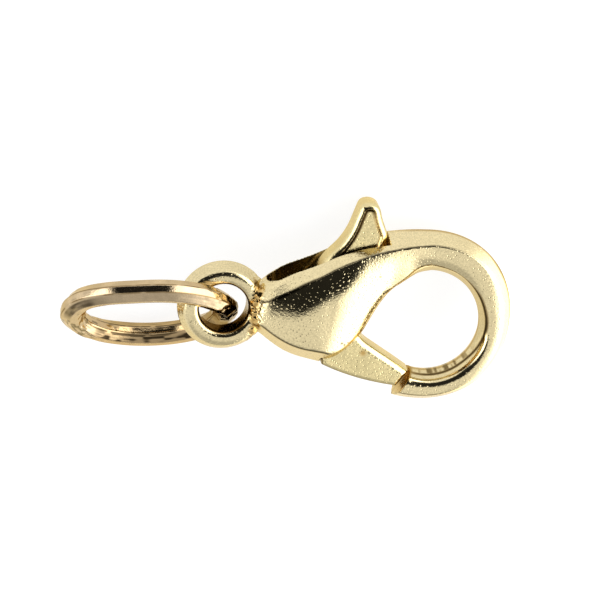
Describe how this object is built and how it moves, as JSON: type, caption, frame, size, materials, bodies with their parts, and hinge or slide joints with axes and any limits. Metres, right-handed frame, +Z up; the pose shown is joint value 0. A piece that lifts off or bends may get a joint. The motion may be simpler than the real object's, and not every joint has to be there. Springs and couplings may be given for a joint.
{
  "type": "lobster clasp with jump ring",
  "caption": "Cast lobster clasp with a pillow-shaped body, round eye, hook and spring-return trigger lever, with a round wire jump ring linked through the eye.",
  "frame": {"origin": "on the table, below the middle of the outer box of the clasp and its jump ring", "axes": "+X runs from the jump ring towards the hook along the clasp, +Y to the side of the thumb lever, +Z up from the table"},
  "size_m": [0.0162, 0.0074, 0.0041],
  "materials": {
    "clasp_gold": "polished pale gold plate over a cast surface",
    "ring_gold": "bright rosier gold plate on drawn wire"
  },
  "bodies": {
    "clasp": {"body": "clasp_gold", "pivot_pin": "clasp_gold", "jump_ring": "ring_gold"},
    "trigger": {"trigger": "clasp_gold"}
  },
  "joints": [
    {"name": "trigger_pivot", "type": "hinge", "parent": "clasp", "child": "trigger", "pos_m": [0.00053, -0.00037, 0.00207], "axis": [0.0646, 0.3331, 0.9407], "range_deg": [0, 26], "stiffness_Nm_per_rad": 0.004}
  ]
}
